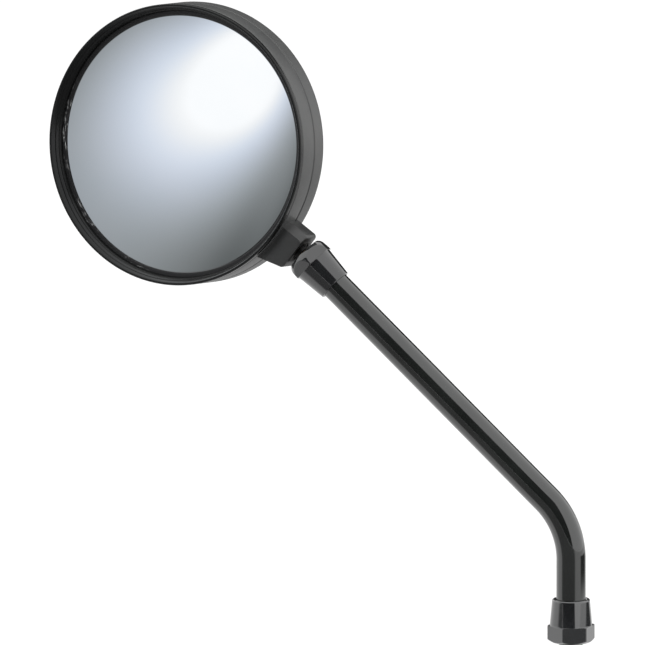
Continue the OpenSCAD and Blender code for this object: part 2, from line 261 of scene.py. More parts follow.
# name, base, roughness, grain, grain's scale, shine
satinBlack = ((0.040, 0.041, 0.041), 0.30, 0.55, 1500.0, 0.8)
housingPlastic = grained("housing_plastic", *satinBlack)
rimPlastic = grained("rim_plastic", (0.004, 0.0043, 0.0043), 0.16, 0.10, 1500.0, 0.35)
carrierPlastic = grained("carrier_plastic", (0.04, 0.04, 0.045), 0.45, 0.3, 1200.0)
nylonPlastic = grained("nylon", (0.62, 0.60, 0.52), 0.4, 0.15, 900.0)
foamPad = grained("foam_pad", (0.07, 0.07, 0.075), 0.85, 0.9, 700.0)
# name, base, roughness, scratches
zincPlate = metal("zinc_plate", (0.62, 0.62, 0.60), 0.22, 0.25)
springSteel = metal("spring_steel", (0.50, 0.50, 0.51), 0.24, 0.2)
blackSteel = metal("black_steel", (0.05, 0.05, 0.05), 0.34, 0.2)
clampBrass = metal("clamp_brass", (0.50, 0.33, 0.15), 0.3, 0.2)
mirrorSilver = mirrorFinish()


# places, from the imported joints

ballPoint = Vector(joints["head_swivel"]["pos_m"])
stemAxis = Vector(joints["head_swivel"]["axis"]).normalized()
tiltAxis = Vector(joints["head_tilt"]["axis"]).normalized()

headPlace = {
    "lean": -9.4,        # degrees, out of the stem's plane
    "reach": 73.7,       # mm, from the ball to the head's axis
    "forward": 10.3,     # mm, from the neck's axis to the front of the rim
}


def placeMatrix(right, up, out, origin):
    turn = Matrix((right, up, out)).transposed().to_4x4()
    return Matrix.Translation(origin) @ turn


stemSide = backward.cross(stemAxis)
plainNeck = tiltAxis.cross(backward)
lean = Matrix.Rotation(math.radians(headPlace["lean"]), 3, tiltAxis)
neckAxis = lean @ plainNeck
headOut = lean @ -backward
headOrigin = ballPoint + (neckAxis * headPlace["reach"] + headOut * headPlace["forward"]) * mm
headFrame = placeMatrix(tiltAxis, neckAxis, headOut, headOrigin)
ballFrame = placeMatrix(stemSide, backward, stemAxis, ballPoint)


# mesh helpers

def newObject(name, data):
    obj = bpy.data.objects.new(name, data)
    bpy.context.scene.collection.objects.link(obj)
    return obj


def addPiece(name, points, faces, material, place=None):
    # a closed piece with its doubles merged and its faces turned outwards
    data = bpy.data.meshes.new(name)
    data.from_pydata(points, [], faces)
    obj = newObject(name, data)
    data.materials.append(material)
    work = bmesh.new()
    work.from_mesh(data)
    bmesh.ops.remove_doubles(work, verts=work.verts, dist=0.001 * mm)
    bmesh.ops.recalc_face_normals(work, faces=work.faces)
    work.to_mesh(data)
    work.free()
    if place is not None:
        data.transform(place)
    return obj


def smooth(obj, limit=32.0):
    # smooth shading, with edges sharper than the limit kept crisp
    work = bmesh.new()
    work.from_mesh(obj.data)
    for face in work.faces:
        face.smooth = True
    for edge in work.edges:
        edge.smooth = edge.calc_face_angle(math.pi) < math.radians(limit)
    work.to_mesh(obj.data)
    work.free()


def plainMesh(obj):
    # the piece's mesh as its modifiers leave it
    bpy.context.view_layer.update()
    return bpy.data.meshes.new_from_object(obj.evaluated_get(bpy.context.evaluated_depsgraph_get()))


def filleted(corners, steps=4):
    # closed outline of (radius, height, fillet) corners as points, in mm
    straight = math.radians(89)     # a corner flatter than this stays as it is
    longestRun = 0.48               # of the shorter side beside the corner
    points = []
    count = len(corners)
    for i, (x, y, fillet) in enumerate(corners):
        here = Vector((x, y))
        back = Vector(corners[i - 1][:2]) - here
        ahead = Vector(corners[(i + 1) % count][:2]) - here
        half = back.angle(ahead) / 2
        if fillet <= 0 or half > straight:
            points.append(here)
            continue
        run = min(fillet / math.tan(half), longestRun * min(back.length, ahead.length))
        centre = here + (back.normalized() + ahead.normalized()).normalized() * run / math.cos(half)
        start = here + back.normalized() * run - centre
        sweep = start.angle_signed(here + ahead.normalized() * run - centre)
        for s in range(steps + 1):
            turned = start.copy()
            turned.rotate(Matrix.Rotation(-sweep * s / steps, 2))
            points.append(centre + turned)
    return points


def divided(points, longest):
    # the same closed outline, with no side longer than the given length
    result = []
    for here, ahead in zip(points, points[1:] + points[:1]):
        parts = max(1, math.ceil((ahead - here).length / longest))
        result += [here.lerp(ahead, s / parts) for s in range(parts)]
    return result


def ringFaces(rings, count, closed=True):
    # the faces between neighbouring rings of points, each ring with the same count
    faces = []
    for ring in range(rings if closed else rings - 1):
        after = (ring + 1) % rings
        for i in range(count):
            j = (i + 1) % count
            faces.append((ring * count + i, ring * count + j, after * count + j, after * count + i))
    return faces


def turnedPiece(name, outline, material, place, segments=256, way=-1.0):
    # the outline of (radius, height) points spun round the place's own Z, heights going down it or up
    points = []
    for s in range(segments):
        angle = 2 * math.pi * s / segments
        for radius, height in outline:
            points.append((radius * math.cos(angle) * mm, radius * math.sin(angle) * mm, way * height * mm))
    return addPiece(name, points, ringFaces(segments, len(outline)), material, place)


def fromTree(obj, group, inputs):
    # runs a geometry tree on the piece and keeps the plain result
    modifier = obj.modifiers.new(group.name, "NODES")
    modifier.node_group = group
    for item in group.interface.items_tree:
        if item.item_type == "SOCKET" and item.in_out == "INPUT" and item.name in inputs:
            modifier[item.identifier] = inputs[item.name]
    data = plainMesh(obj)
    obj.modifiers.remove(modifier)
    obj.data = data
    return obj


def geometryTree(name, sizes):
    # an empty tree with the named sizes as inputs, returned with its wires
    group = bpy.data.node_groups.new(name, "GeometryNodeTree")
    group.interface.new_socket("Geometry", in_out="INPUT", socket_type="NodeSocketGeometry")
    for size, value in sizes.items():
        made = group.interface.new_socket(size, in_out="INPUT", socket_type="NodeSocketFloat")
        made.default_value = value
    group.interface.new_socket("Material", in_out="INPUT", socket_type="NodeSocketMaterial")
    group.interface.new_socket("Geometry", in_out="OUTPUT", socket_type="NodeSocketGeometry")
    entry = group.nodes.new("NodeGroupInput")
    wires = {socket.name: Wire(group, socket) for socket in entry.outputs if socket.name}
    return group, wires


def closeTree(group, wires, geometry):
    plain = node(group, "GeometryNodeRealizeInstances", None, {0: geometry})
    shown = node(group, "GeometryNodeSetMaterial", None, {"Geometry": plain, "Material": wires["Material"]})
    node(group, "NodeGroupOutput", None, {0: shown})


def radialParts(group):
    # radius, angle and height of each point round the piece's own Z
    x, y, z = separated(node(group, "GeometryNodeInputPosition"))
    radius = (x * x + y * y).math("SQRT")
    return radius, y.math("ARCTAN2", x), z


def moveRadius(group, geometry, radius, angle, z):
    place = node(group, "ShaderNodeCombineXYZ", None, {
        0: radius * angle.math("COSINE"),
        1: radius * angle.math("SINE"),
        2: z,
    })
    return node(group, "GeometryNodeSetPosition", None, {"Geometry": geometry, "Position": place})


wholeTurns = 100.0     # added so that the part left over is never below zero

hexBorder = {"foot": 0.00001, "footFade": 0.0001, "topFrom": 0.0002, "topTo": 0.00005, "topFade": 0.00004}


def hexagonTree():
    # presses six flats into a turned blank, up to a height, with softened corners
    sizes = {"Across Flats": 0.017, "Hex Foot": -1.0, "Hex Top": 0.007, "Cone Radius": 0.0086,
             "Turn": 0.0, "Softness": 0.0002}
    group, wires = geometryTree("hexFlats", sizes)
    radius, angle, z = radialParts(group)
    sixth = math.pi / 3
    low, high, softness = wires["Hex Foot"], wires["Hex Top"], wires["Softness"]
    folded = (angle - wires["Turn"] + wholeTurns * sixth).math("FLOORED_MODULO", sixth) - sixth / 2
    flats = wires["Across Flats"] * 0.5 / folded.math("COSINE")
    inside = z.step(low - hexBorder["foot"], low + hexBorder["foot"])
    inside = inside * (1.0 - z.step(high - hexBorder["topFrom"], high - hexBorder["topTo"]))
    limit = flats.larger(wires["Cone Radius"]) * (1.0 - inside) + flats * inside
    zone = z.step(low - hexBorder["footFade"], low) * (1.0 - z.step(high, high + hexBorder["topFade"]))
    share = (0.5 + (limit - radius) * 0.5 / softness).larger(0.0).smaller(1.0)
    pressed = limit * (1.0 - share) + radius * share - softness * share * (1.0 - share)
    result = radius * (1.0 - zone) + pressed * zone
    closeTree(group, wires, moveRadius(group, wires["Geometry"], result, angle, z))
    return group


threadCut = {"crest": 0.12, "flank": 0.70, "runIn": 0.0006, "runOut": 0.0008, "coreEdge": 0.0001}


def threadTree():
    # cuts a screw thread into a turned blank between two heights
    sizes = {"Pitch": 0.00125, "Depth": 0.0007, "Core": 0.004, "Low": -0.022, "High": 0.0}
    group, wires = geometryTree("cutThread", sizes)
    radius, angle, z = radialParts(group)
    low, high, core = wires["Low"], wires["High"], wires["Core"]
    turn = (z / wires["Pitch"] - angle / (2 * math.pi) + wholeTurns).math("FRACT")
    flank = (turn - 0.5).math("ABSOLUTE") * 2.0
    tooth = ((flank - threadCut["crest"]) / threadCut["flank"]).larger(0.0).smaller(1.0)
    zone = z.step(low, low + threadCut["runIn"]) * (1.0 - z.step(high - threadCut["runOut"], high))
    zone = zone * radius.step(core, core + threadCut["coreEdge"])
    result = radius - wires["Depth"] * tooth * zone
    closeTree(group, wires, moveRadius(group, wires["Geometry"], result, angle, z))
    return group


hexFlats = hexagonTree()
cutThread = threadTree()
print("finishes and trees ready")


def settle(obj, nodeName, body):
    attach(obj, body)
    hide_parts(nodeName)
    return obj


# stem; all its sizes, and those of the pieces below, are in mm and degrees

stem = {
    "radius": 6.0, "bore": 4.5, "topRadius": 5.9,
    "foot": 9.0,          # height of the tube's lower end
    "bendRadius": 33.0,
    "cornerZ": 48.3,
    "top": -4.75,         # along the upper straight, from the ball
    "threadEnd": -10.0,
    "sides": 96, "footSteps": 8, "bendSteps": 40, "upperSteps": 30,
}


def stemStations():
    # centre line of the tube as (point, direction, outer radius) stations
    bend = math.acos(stemAxis.z)
    turn = stem["bendRadius"]
    bendFoot = stem["cornerZ"] - turn * math.tan(bend / 2)
    stations = []
    for s in range(stem["footSteps"] + 1):
        height = stem["foot"] + (bendFoot - stem["foot"]) * s / stem["footSteps"]
        stations.append((Vector((0, 0, height)), upward, stem["radius"]))
    for s in range(1, stem["bendSteps"] + 1):
        a = bend * s / stem["bendSteps"]
        centre = Vector((-turn * (1 - math.cos(a)), 0, bendFoot + turn * math.sin(a)))
        stations.append((centre, Vector((-math.sin(a), 0, math.cos(a))), stem["radius"]))
    start = stations[-1][0]
    ball = ballPoint / mm
    end = ball + stemAxis * stem["threadEnd"]
    for s in range(1, stem["upperSteps"] + 1):
        stations.append((start.lerp(end, s / stem["upperSteps"]), stemAxis, stem["radius"]))
    stations.append((end, stemAxis, stem["topRadius"]))
    stations.append((ball + stemAxis * stem["top"], stemAxis, stem["topRadius"]))
    return stations


def buildStem():
    outer = stemStations()
    inner = [(centre, along, stem["bore"]) for centre, along, radius in reversed(outer)]
    points = []
    for centre, along, radius in outer + inner:
        side = backward.cross(along)
        for s in range(stem["sides"]):
            angle = 2 * math.pi * s / stem["sides"]
            points.append((centre + (side * math.cos(angle) + backward * math.sin(angle)) * radius) * mm)
    tube = addPiece("bent_tube", points, ringFaces(2 * len(outer), stem["sides"]), stemPaint)
    smooth(tube)
    settle(tube, "stem_tube", "stem")


buildStem()

foot = {
    "thread": 5.0, "length": 22.0, "core": 4.8, "flange": 5.9, "flangeFoot": 8.2, "tubeEnd": 9.0,
    "plug": 4.45, "plugTop": 24.0, "chamfer": 1.0, "plugChamfer": 1.0, "pitch": 1.25, "depth": 0.68,
    "cutBelow": 0.3, "cutAbove": 0.5, "cutInside": 1.2,     # past the thread's ends and core
    "segments": 96, "longestSide": 0.11, "crisp": 40,
}


def buildFoot():
    f = foot
    blank = turnedPiece("threaded_foot", divided(filleted([
        (0, -f["length"], 0), (f["thread"] - f["chamfer"], -f["length"], 0.2),
        (f["thread"], -f["length"] + f["chamfer"], 0.2), (f["thread"], 0, 0), (f["core"], 0, 0),
        (f["core"], f["flangeFoot"], 0), (f["flange"], f["flangeFoot"], 0.1),
        (f["flange"], f["tubeEnd"], 0), (f["plug"], f["tubeEnd"], 0),
        (f["plug"], f["plugTop"] - f["plugChamfer"], 0.2), (f["plug"] - f["plugChamfer"], f["plugTop"], 0.2),
        (0, f["plugTop"], 0)]), f["longestSide"]), zincPlate, None, f["segments"], 1.0)
    sizes = {"Pitch": f["pitch"] * mm, "Depth": f["depth"] * mm, "Low": (-f["length"] - f["cutBelow"]) * mm,
             "High": f["cutAbove"] * mm, "Core": (f["core"] - f["cutInside"]) * mm, "Material": zincPlate}
    fromTree(blank, cutThread, sizes)
    smooth(blank, f["crisp"])
    settle(blank, "stem_foot", "stem")


buildFoot()

# nuts

nutMesh = {"segments": 360, "longestSide": 0.25, "crisp": 40}

lockNut = {
    "flats": 17.0, "corner": 9.815, "hexTop": 6.8, "top": 17.5, "coneFoot": 8.66, "coneTop": 7.7,
    "bore": 4.9, "relief": 6.2, "reliefFoot": 7.5, "turn": 28.5,
    "mouth": 0.6, "seatEdge": 0.5, "footTaper": 1.2, "shoulder": 0.3, "shoulderDrop": 0.2,
    "crown": 0.4, "crownDrop": 0.35,
}

unionNut = {
    "flats": 17.0, "corner": 9.815, "hexFoot": -1.8, "mouth": 4.0, "mouthBore": 5.45, "lip": 2.75,
    "cavity": 6.3, "cavityFoot": -3.6, "coneTop": 8.386, "end": -14.1, "endRadius": 7.1, "tail": 6.2,
    "threadBore": 6.0, "threadFoot": -9.8,
    "noseRadius": 8.0, "noseFoot": 0.25, "noseSweep": 44.0, "noseSteps": 12, "turn": -16.4,
    "endEdge": 0.2, "endRise": 0.35, "shoulder": 0.3, "shoulderRise": 0.2,
    "cornerEdge": 0.02, "faceEdge": 1.0,
}


def pressedNut(name, corners, paint, sizes):
    # a turned blank with six flats pressed into it
    outline = divided(filleted(corners), nutMesh["longestSide"])
    blank = turnedPiece(name, outline, paint, None, nutMesh["segments"], 1.0)
    return fromTree(blank, hexFlats, {**sizes, "Material": paint})


def buildLockNut():
    n = lockNut
    nut = pressedNut("foot_nut", [
        (n["bore"] + n["mouth"], 0, 0.1), (n["flats"] / 2 - n["seatEdge"], 0, 0.15),
        (n["corner"], n["footTaper"], 0.1), (n["corner"], n["hexTop"] - n["shoulderDrop"], 0.1),
        (n["corner"] - n["shoulder"], n["hexTop"], 0.05), (n["coneFoot"], n["hexTop"], 0.12),
        (n["coneTop"], n["top"] - n["crownDrop"], 0.3), (n["coneTop"] - n["crown"], n["top"], 0.15),
        (n["relief"] + n["crown"], n["top"], 0.1), (n["relief"], n["top"] - n["crown"], 0.1),
        (n["relief"], n["reliefFoot"], 0), (n["bore"], n["reliefFoot"], 0), (n["bore"], n["mouth"], 0),
    ], footNutPaint, {
        "Across Flats": n["flats"] * mm, "Hex Foot": -mm, "Hex Top": n["hexTop"] * mm,
        "Cone Radius": n["coneFoot"] * mm, "Turn": math.radians(n["turn"]),
    })
    smooth(nut, nutMesh["crisp"])
    settle(nut, "lock_nut", "lock_nut")


def buildUnionNut():
    n = unionNut
    radius = n["noseRadius"]
    middle, height = n["corner"] - radius, n["hexFoot"] + n["noseFoot"]
    nose = []
    for s in range(n["noseSteps"] + 1):
        a = math.radians(n["noseSweep"] * s / n["noseSteps"])
        nose.append((middle + radius * math.cos(a), height + radius * math.sin(a), 0))
    nut = pressedNut("ball_nut", [
        (n["tail"], n["end"], 0.05), (n["endRadius"] - n["endEdge"], n["end"], 0.1),
        (n["endRadius"], n["end"] + n["endRise"], 0.15), (n["coneTop"], n["hexFoot"], 0.1),
        (n["corner"] - n["shoulder"], n["hexFoot"], 0.05),
        (n["corner"] - n["cornerEdge"], n["hexFoot"] + n["shoulderRise"], 0.05),
        *nose,
        (n["flats"] / 2 - n["faceEdge"], n["mouth"], 0.1), (n["mouthBore"], n["mouth"], 0.12),
        (n["mouthBore"], n["lip"], 0), (n["cavity"], n["lip"], 0), (n["cavity"], n["cavityFoot"], 0),
        (n["threadBore"], n["cavityFoot"], 0), (n["threadBore"], n["threadFoot"], 0),
        (n["tail"], n["threadFoot"], 0),
    ], nutPaint, {
        "Across Flats": n["flats"] * mm, "Hex Foot": n["hexFoot"] * mm, "Hex Top": 1.0,
        "Cone Radius": n["coneTop"] * mm, "Turn": math.radians(n["turn"]),
    })
    nut.data.transform(ballFrame)
    smooth(nut, nutMesh["crisp"])
    settle(nut, "union_nut", "union_nut")


buildLockNut()
buildUnionNut()
print("stem, foot and nuts built")

# head; depths run back from the front of the rim

head = {
    "radius": 57.5, "lip": 2.8, "ringFoot": 6.3, "seam": 12.9, "seamGap": 0.25, "side": 20.0, "depth": 28.5,
    "edge": 4.0, "wall": 2.4, "nest": 56.2, "window": 52.7, "glassRadius": 54.0, "glassDepth": 6.95,
    "glassThick": 2.0, "glassCurve": 1300.0, "spigot": 2.4, "ledge": 52.5, "ledgeThick": 1.2,
    "lipGroove": 0.4, "seamGroove": 0.5, "gap": 0.05, "slip": 0.1, "segments": 288,
}


def glassSag(radius):
    return head["glassCurve"] - math.sqrt(head["glassCurve"] ** 2 - radius ** 2)


def headPoint(point):
    # the point in the head's own frame, as x, y, z
    toHead = headFrame.inverted()
    local = node(point.tree, "ShaderNodeMapping", {"vector_type": "POINT"}, {
        "Vector": point,
        "Location": tuple(toHead.translation),
        "Rotation": tuple(toHead.to_euler()),
    })
    return separated(local)


rim = {
    "crest": 0.62, "front": 0.12, "frontHalf": 0.35, "crestEdge": 0.1, "inset": 1.5, "sideEdge": 0.5,
    "fineSteps": [(54.75, 4.3, 0.0), (55.05, 4.15, 0.08), (55.5, 2.5, 0.0), (55.8, 2.35, 0.08)],
}


def buildRim():
    h = head
    r = h["radius"]
    middle = r - rim["crest"]
    nest = h["nest"] - h["gap"]
    under = h["lip"] - h["gap"]
    outline = filleted([
        (h["window"] + rim["inset"], h["ringFoot"], 0.12), *rim["fineSteps"],
        (r - 2 * rim["crest"], rim["crest"], 0.0), (middle - rim["frontHalf"], rim["front"], 0.25),
        (middle + rim["frontHalf"], rim["front"], 0.25), (r, rim["crest"] + rim["crestEdge"], 0.3),
        (r, h["lip"] - rim["sideEdge"], 0.15), (r - h["lipGroove"], under, 0.1), (nest, under, 0),
        (nest, h["ringFoot"], 0)], 5)
    ring = turnedPiece("glass_rim", outline, rimPlastic, headFrame, h["segments"])
    smooth(ring)
    settle(ring, "rim_ring", "head")


block = {
    "width": 16.6, "shift": 0.8, "length": 10.0, "front": 4.6, "back": 15.9, "bevel": 2.6, "corner": 1.5,
    "flareLeft": 3.8, "flareRight": -0.6, "seatRadius": 4.25, "seatDepth": 8.2,
    "cornerSteps": 4, "leftSweep": 70.0, "rootSteps": 8,
    "inWall": 0.6, "onShell": 0.1, "overSeam": 0.6, "boreStart": 3.0, "boreSegments": 64,
    "round": 0.32, "roundSteps": 3, "roundFrom": 28, "crisp": 30,
    "shadeFrom": 57.0, "shadeTo": 59.2, "shade": 0.55,     # mm from the head's axis where the painted shade begins and is full, and how much darker it paints
}


def paintedBlockShade(point):
    # painted shade: the neck block and the wall beside it are coloured darker than the ring, standing in for
    # the shadow and dark reflection round the block
    below = headPoint(point)[1] * -1.0
    return below.step(block["shadeFrom"] * mm, block["shadeTo"] * mm) * block["shade"]


def buildFrontHousing():
    h = head
    r = h["radius"]
    inner = r - h["wall"]
    outside, inside = h["nest"] + h["gap"], h["nest"] - h["gap"]
    spigotEnd = h["seam"] + h["spigot"]
    ledgeEnd = h["seam"] + h["ledgeThick"]
    ring = turnedPiece("front_housing", filleted([
        (outside, h["lip"], 0), (r - h["lipGroove"], h["lip"], 0.1), (r, h["lip"] + h["lipGroove"], 0.25),
        (r, h["seam"] - h["seamGroove"], 0.2), (r - h["seamGroove"], h["seam"], 0.05),
        (inside, h["seam"], 0), (inside, spigotEnd, 0), (inner - h["slip"], spigotEnd, 0),
        (inner - h["slip"], ledgeEnd, 0), (h["ledge"], ledgeEnd, 0), (h["ledge"], h["seam"], 0),
        (inner + h["slip"], h["seam"], 0), (inner + h["slip"], h["ringFoot"] + h["slip"], 0),
        (outside, h["ringFoot"] + h["slip"], 0)], 4),
        # the front ring's plastic carries the painted shade round the neck block
        grained("front_plastic", *satinBlack, paintedBlockShade), None, h["segments"])
    smooth(ring)
    joinBlock(ring)
    ring.data.transform(headFrame)
    settle(ring, "front_ring", "head")


def blockOutline(cut, root):
    # outline of the neck block seen from the front, its right side cut back by the bevel
    end = -head["radius"] - block["length"]
    left = -block["width"] / 2 - block["shift"]
    right = block["width"] / 2 - block["shift"] - cut
    corner, steps = block["corner"], block["cornerSteps"]
    points = [(right + block["flareRight"], None)]
    for s in range(steps + 1):
        a = math.radians(-90 * s / steps)
        points.append((right - corner * (1 - math.cos(a)), end + corner * (1 + math.sin(a))))
    for s in range(steps + 1):
        a = math.radians(-90 - block["leftSweep"] * s / steps)
        points.append((left + corner * (1 + math.cos(a)), end + corner * (1 + math.sin(a))))
    wide, narrow = left - block["flareLeft"], right + block["flareRight"]
    points += [(wide + (narrow - wide) * s / block["rootSteps"], None) for s in range(block["rootSteps"])]
    return [(x, y if y is not None else -math.sqrt(root * root - x * x)) for x, y in points]


def joinBlock(ring):
    # the neck block with its bore, added to the ring's mesh
    inWall = head["radius"] - block["inWall"]
    onShell = head["radius"] + block["onShell"]
    overSeam = head["seam"] - block["overSeam"]
    layers = [(block["front"], block["bevel"], inWall), (block["front"] + block["bevel"], 0, inWall),
              (overSeam, 0, inWall), (overSeam, 0, onShell), (block["back"], 0, onShell)]
    points = []
    for depth, cut, root in layers:
        points += [(x * mm, y * mm, -depth * mm) for x, y in blockOutline(cut, root)]
    count = len(points) // len(layers)
    ends = [tuple(range(count)), tuple(range((len(layers) - 1) * count, len(layers) * count))]
    solid = addPiece("neck_block", points, ends + ringFaces(len(layers), count, False), housingPlastic)
    boreTop = block["seatDepth"] + block["boreStart"]
    wall = [(0, 0), (block["seatRadius"], 0), (block["seatRadius"], boreTop), (0, boreTop)]
    bore = turnedPiece("block_bore", wall, housingPlastic, None, block["boreSegments"], 1.0)
    low = -head["radius"] - block["length"] - block["boreStart"]
    place = Matrix.Translation((0, low * mm, -headPlace["forward"] * mm))
    bore.data.transform(place @ Matrix.Rotation(-math.pi / 2, 4, "X"))
    cut = solid.modifiers.new("bore", "BOOLEAN")
    cut.object = bore
    cut.operation = "DIFFERENCE"
    cut.solver = "EXACT"
    soft = solid.modifiers.new("soft", "BEVEL")
    soft.width = block["round"] * mm
    soft.segments = block["roundSteps"]
    soft.limit_method = "ANGLE"
    soft.angle_limit = math.radians(block["roundFrom"])
    solid.data = plainMesh(solid)
    solid.modifiers.clear()
    bpy.data.objects.remove(bore)
    smooth(solid, block["crisp"])
    work = bmesh.new()
    work.from_mesh(ring.data)
    work.from_mesh(solid.data)
    work.to_mesh(ring.data)
    work.free()
    bpy.data.objects.remove(solid)


rearShell = {"domeSteps": 24, "edgeSteps": 12, "spigotRoom": 0.2}


def backOutline(inset):
    # the back from its axis out to the side wall, moved inwards by the inset
    h = head
    rise = h["depth"] - h["side"]
    x = h["radius"] - h["edge"]
    dome = (x * x + rise * rise - h["edge"] ** 2) / (2 * (rise - h["edge"]))
    reach = math.asin(x / (dome - h["edge"]))
    points = []
    for s in range(rearShell["domeSteps"] + 1):
        a = reach * s / rearShell["domeSteps"]
        height = h["depth"] - dome + (dome - inset) * math.cos(a)
        points.append(Vector(((dome - inset) * math.sin(a), height)))
    for s in range(1, rearShell["edgeSteps"] + 1):
        a = (math.pi / 2 - reach) * (1 - s / rearShell["edgeSteps"])
        radius = h["edge"] - inset
        points.append(Vector((x + radius * math.cos(a), h["side"] + radius * math.sin(a))))
    return points


def buildRearHousing():
    h = head
    front = h["seam"] + h["seamGap"]
    step = h["seam"] + h["spigot"] + rearShell["spigotRoom"]
    nest = h["nest"] + h["gap"]
    outline = backOutline(0.0)
    for radius, depth in ((h["radius"], front + h["seamGroove"]), (h["radius"] - h["seamGroove"], front),
                          (nest, front), (nest, step), (h["radius"] - h["wall"], step)):
        outline.append(Vector((radius, depth)))
    outline += reversed(backOutline(h["wall"]))
    shell = turnedPiece("rear_housing", outline, housingPlastic, headFrame, h["segments"])
    smooth(shell)
    settle(shell, "rear_shell", "head")


glassEdge = {"bevel": 0.4, "corner": 0.1, "frontSteps": 40, "backSteps": 12, "crisp": 20}


def buildGlass():
    g = glassEdge
    full, depth = head["glassRadius"], head["glassDepth"]
    top = depth - glassSag(full)
    outline = []
    for s in range(g["frontSteps"] + 1):
        x = full * s / g["frontSteps"] - g["bevel"] * s / g["frontSteps"]
        outline.append(Vector((x, top + glassSag(x))))
    outline.append(Vector((full - g["corner"], depth + g["corner"])))
    outline.append(Vector((full, depth + g["bevel"])))
    for s in range(g["backSteps"] + 1):
        x = full * (1 - s / g["backSteps"])
        outline.append(Vector((x, top + head["glassThick"] + glassSag(x))))
    glass = turnedPiece("convex_glass", outline, mirrorSilver, headFrame, head["segments"])
    smooth(glass, g["crisp"])
    settle(glass, "mirror_glass", "head")


gasket = {
    "skirt": 3.1, "lipWidth": 0.6, "lipEdge": 0.1,
    "black": (0.012, 0.012, 0.013), "roughness": 0.42, "patchRough": 0.08,
    "glintColour": (0.55, 0.56, 0.56), "glintSmooth": 0.12, "dashBump": 0.3, "dashBumpHeight": 0.00008,
    "dashAlong": 330.0, "dashAcross": 2200.0, "dashDeep": 1500.0, "patchScale": 55.0,     # per metre
    "dashEdge": (0.54, 0.70), "patchEdge": (0.34, 0.58),
    "toLeft": -0.86, "toTop": 0.46, "sideEdge": (0.030, 0.048),     # the side that gets the painted glints
}


def gasketFinish():
    # black rubber with painted highlights: bright dashes on its lip down the left of the glass stand in for
    # glints
    def build(tree, point):
        x, y, z = headPoint(point)
        along = (y * -1.0).math("ARCTAN2", x * -1.0) * head["window"] * mm
        across = (x * x + y * y).math("SQRT")
        drawn = node(tree, "ShaderNodeCombineXYZ", None, {
            0: along * gasket["dashAlong"],
            1: across * gasket["dashAcross"],
            2: z * gasket["dashDeep"],
        })
        dashes = noise(drawn, 1.0, 3.0, 0.6)
        patches = noise(point, gasket["patchScale"])
        side = (x * gasket["toLeft"] + y * gasket["toTop"]).step(*gasket["sideEdge"])
        # painted highlights: bright dashes on the left of the lip
        bright = dashes.step(*gasket["dashEdge"]) * patches.step(*gasket["patchEdge"]) * side
        return {
            "Base Color": mixedColour(bright, toned(gasket["black"]), toned(gasket["glintColour"])),
            "Roughness": (gasket["roughness"] - bright * gasket["glintSmooth"]
                          + patches * gasket["patchRough"]),
            "Normal": bump(dashes, gasket["dashBump"], gasket["dashBumpHeight"]),
        }
    return finish("gasket_rubber", build, {"Specular IOR Level": 0.5})


def buildGasket():
    h = head
    top = h["ringFoot"] + h["gap"]
    under = h["glassDepth"] - glassSag(h["glassRadius"]) + glassSag(h["window"]) - h["gap"]
    skirt = h["glassDepth"] + gasket["skirt"]
    wall = h["radius"] - h["wall"]
    besideGlass = h["glassRadius"] + h["gap"]
    outline = filleted([
        (h["window"], under, 0), (h["window"], top + gasket["lipEdge"], 0.1),
        (h["window"] + gasket["lipWidth"], top, 0.2), (wall, top, 0), (wall, skirt, 0),
        (besideGlass, skirt, 0), (besideGlass, h["glassDepth"] - h["gap"], 0)])
    seal = turnedPiece("glass_seal", outline, gasketFinish(), headFrame, h["segments"])
    smooth(seal)
    settle(seal, "glass_gasket", "head")


buildRim()
buildFrontHousing()
buildRearHousing()
buildGlass()
buildGasket()
print("head built")

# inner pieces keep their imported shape

innerFinish = {
    "clamp_ring": clampBrass, "ball_seat": nylonPlastic, "seat_washer": springSteel, "ball_stud": blackSteel,
    "neck_insert": blackSteel, "glass_foam": foamPad, "glass_carrier": carrierPlastic,
    "carrier_screw_1": zincPlate, "carrier_screw_2": zincPlate, "carrier_screw_3": zincPlate,
    "carrier_screw_4": zincPlate,
}
for name, material in innerFinish.items():
    frame["nodes"][name].data.materials.clear()
    frame["nodes"][name].data.materials.append(material)
print("inner pieces finished")

# studio

view = {
    "azimuth": 19.1, "elevation": 10.0,            # degrees
    "target": (-0.1028, -0.0118, 0.1276),
    "distance": 10.0, "frameWidth": 0.2622,        # metres
    "sensor": 36.0, "farthest": 50.0,
}
viewTarget = Vector(view["target"])


def direction(azimuth, elevation):
    a, e = math.radians(azimuth), math.radians(elevation)
    return Vector((math.sin(a) * math.cos(e), -math.cos(a) * math.cos(e), math.sin(e)))


viewEye = viewTarget + direction(view["azimuth"], view["elevation"]) * view["distance"]


def aim(obj, target):
    look = obj.location - target
    level = upward.cross(look)
    if level.length < 0.001 * look.length:
        level = Vector((1, 0, 0))
    level.normalize()
    look.normalize()
    obj.rotation_euler = Matrix((level, look.cross(level), look)).transposed().to_euler()


def setCamera():
    data = bpy.data.cameras.new("camera")
    camera = newObject("camera", data)
    camera.location = viewEye
    aim(camera, viewTarget)
    data.sensor_width = view["sensor"]
    data.sensor_fit = "HORIZONTAL"
    data.lens = view["sensor"] * view["distance"] / view["frameWidth"]
    data.clip_end = view["farthest"]
    bpy.context.scene.camera = camera


def seenRays(tree):
    # 1 on camera, glossy and transmission rays
    path = node(tree, "ShaderNodeLightPath").socket.node
    rays = ("Is Camera Ray", "Is Glossy Ray", "Is Transmission Ray")
    camera, glossy, through = [Wire(tree, path.outputs[name]) for name in rays]
    return camera.larger(glossy).larger(through)


sky = {"light": 0.65, "seen": 1.0}     # on the object, and to the camera and in reflections


def setWorld():
    world = bpy.data.worlds.new("studio")
    bpy.context.scene.world = world
    tree = emptyTree(world)
    strength = seenRays(tree) * (sky["seen"] - sky["light"]) + sky["light"]
    back = node(tree, "ShaderNodeBackground", None, {"Color": grey(1.0), "Strength": strength})
    node(tree, "ShaderNodeOutputWorld", None, {"Surface": back})


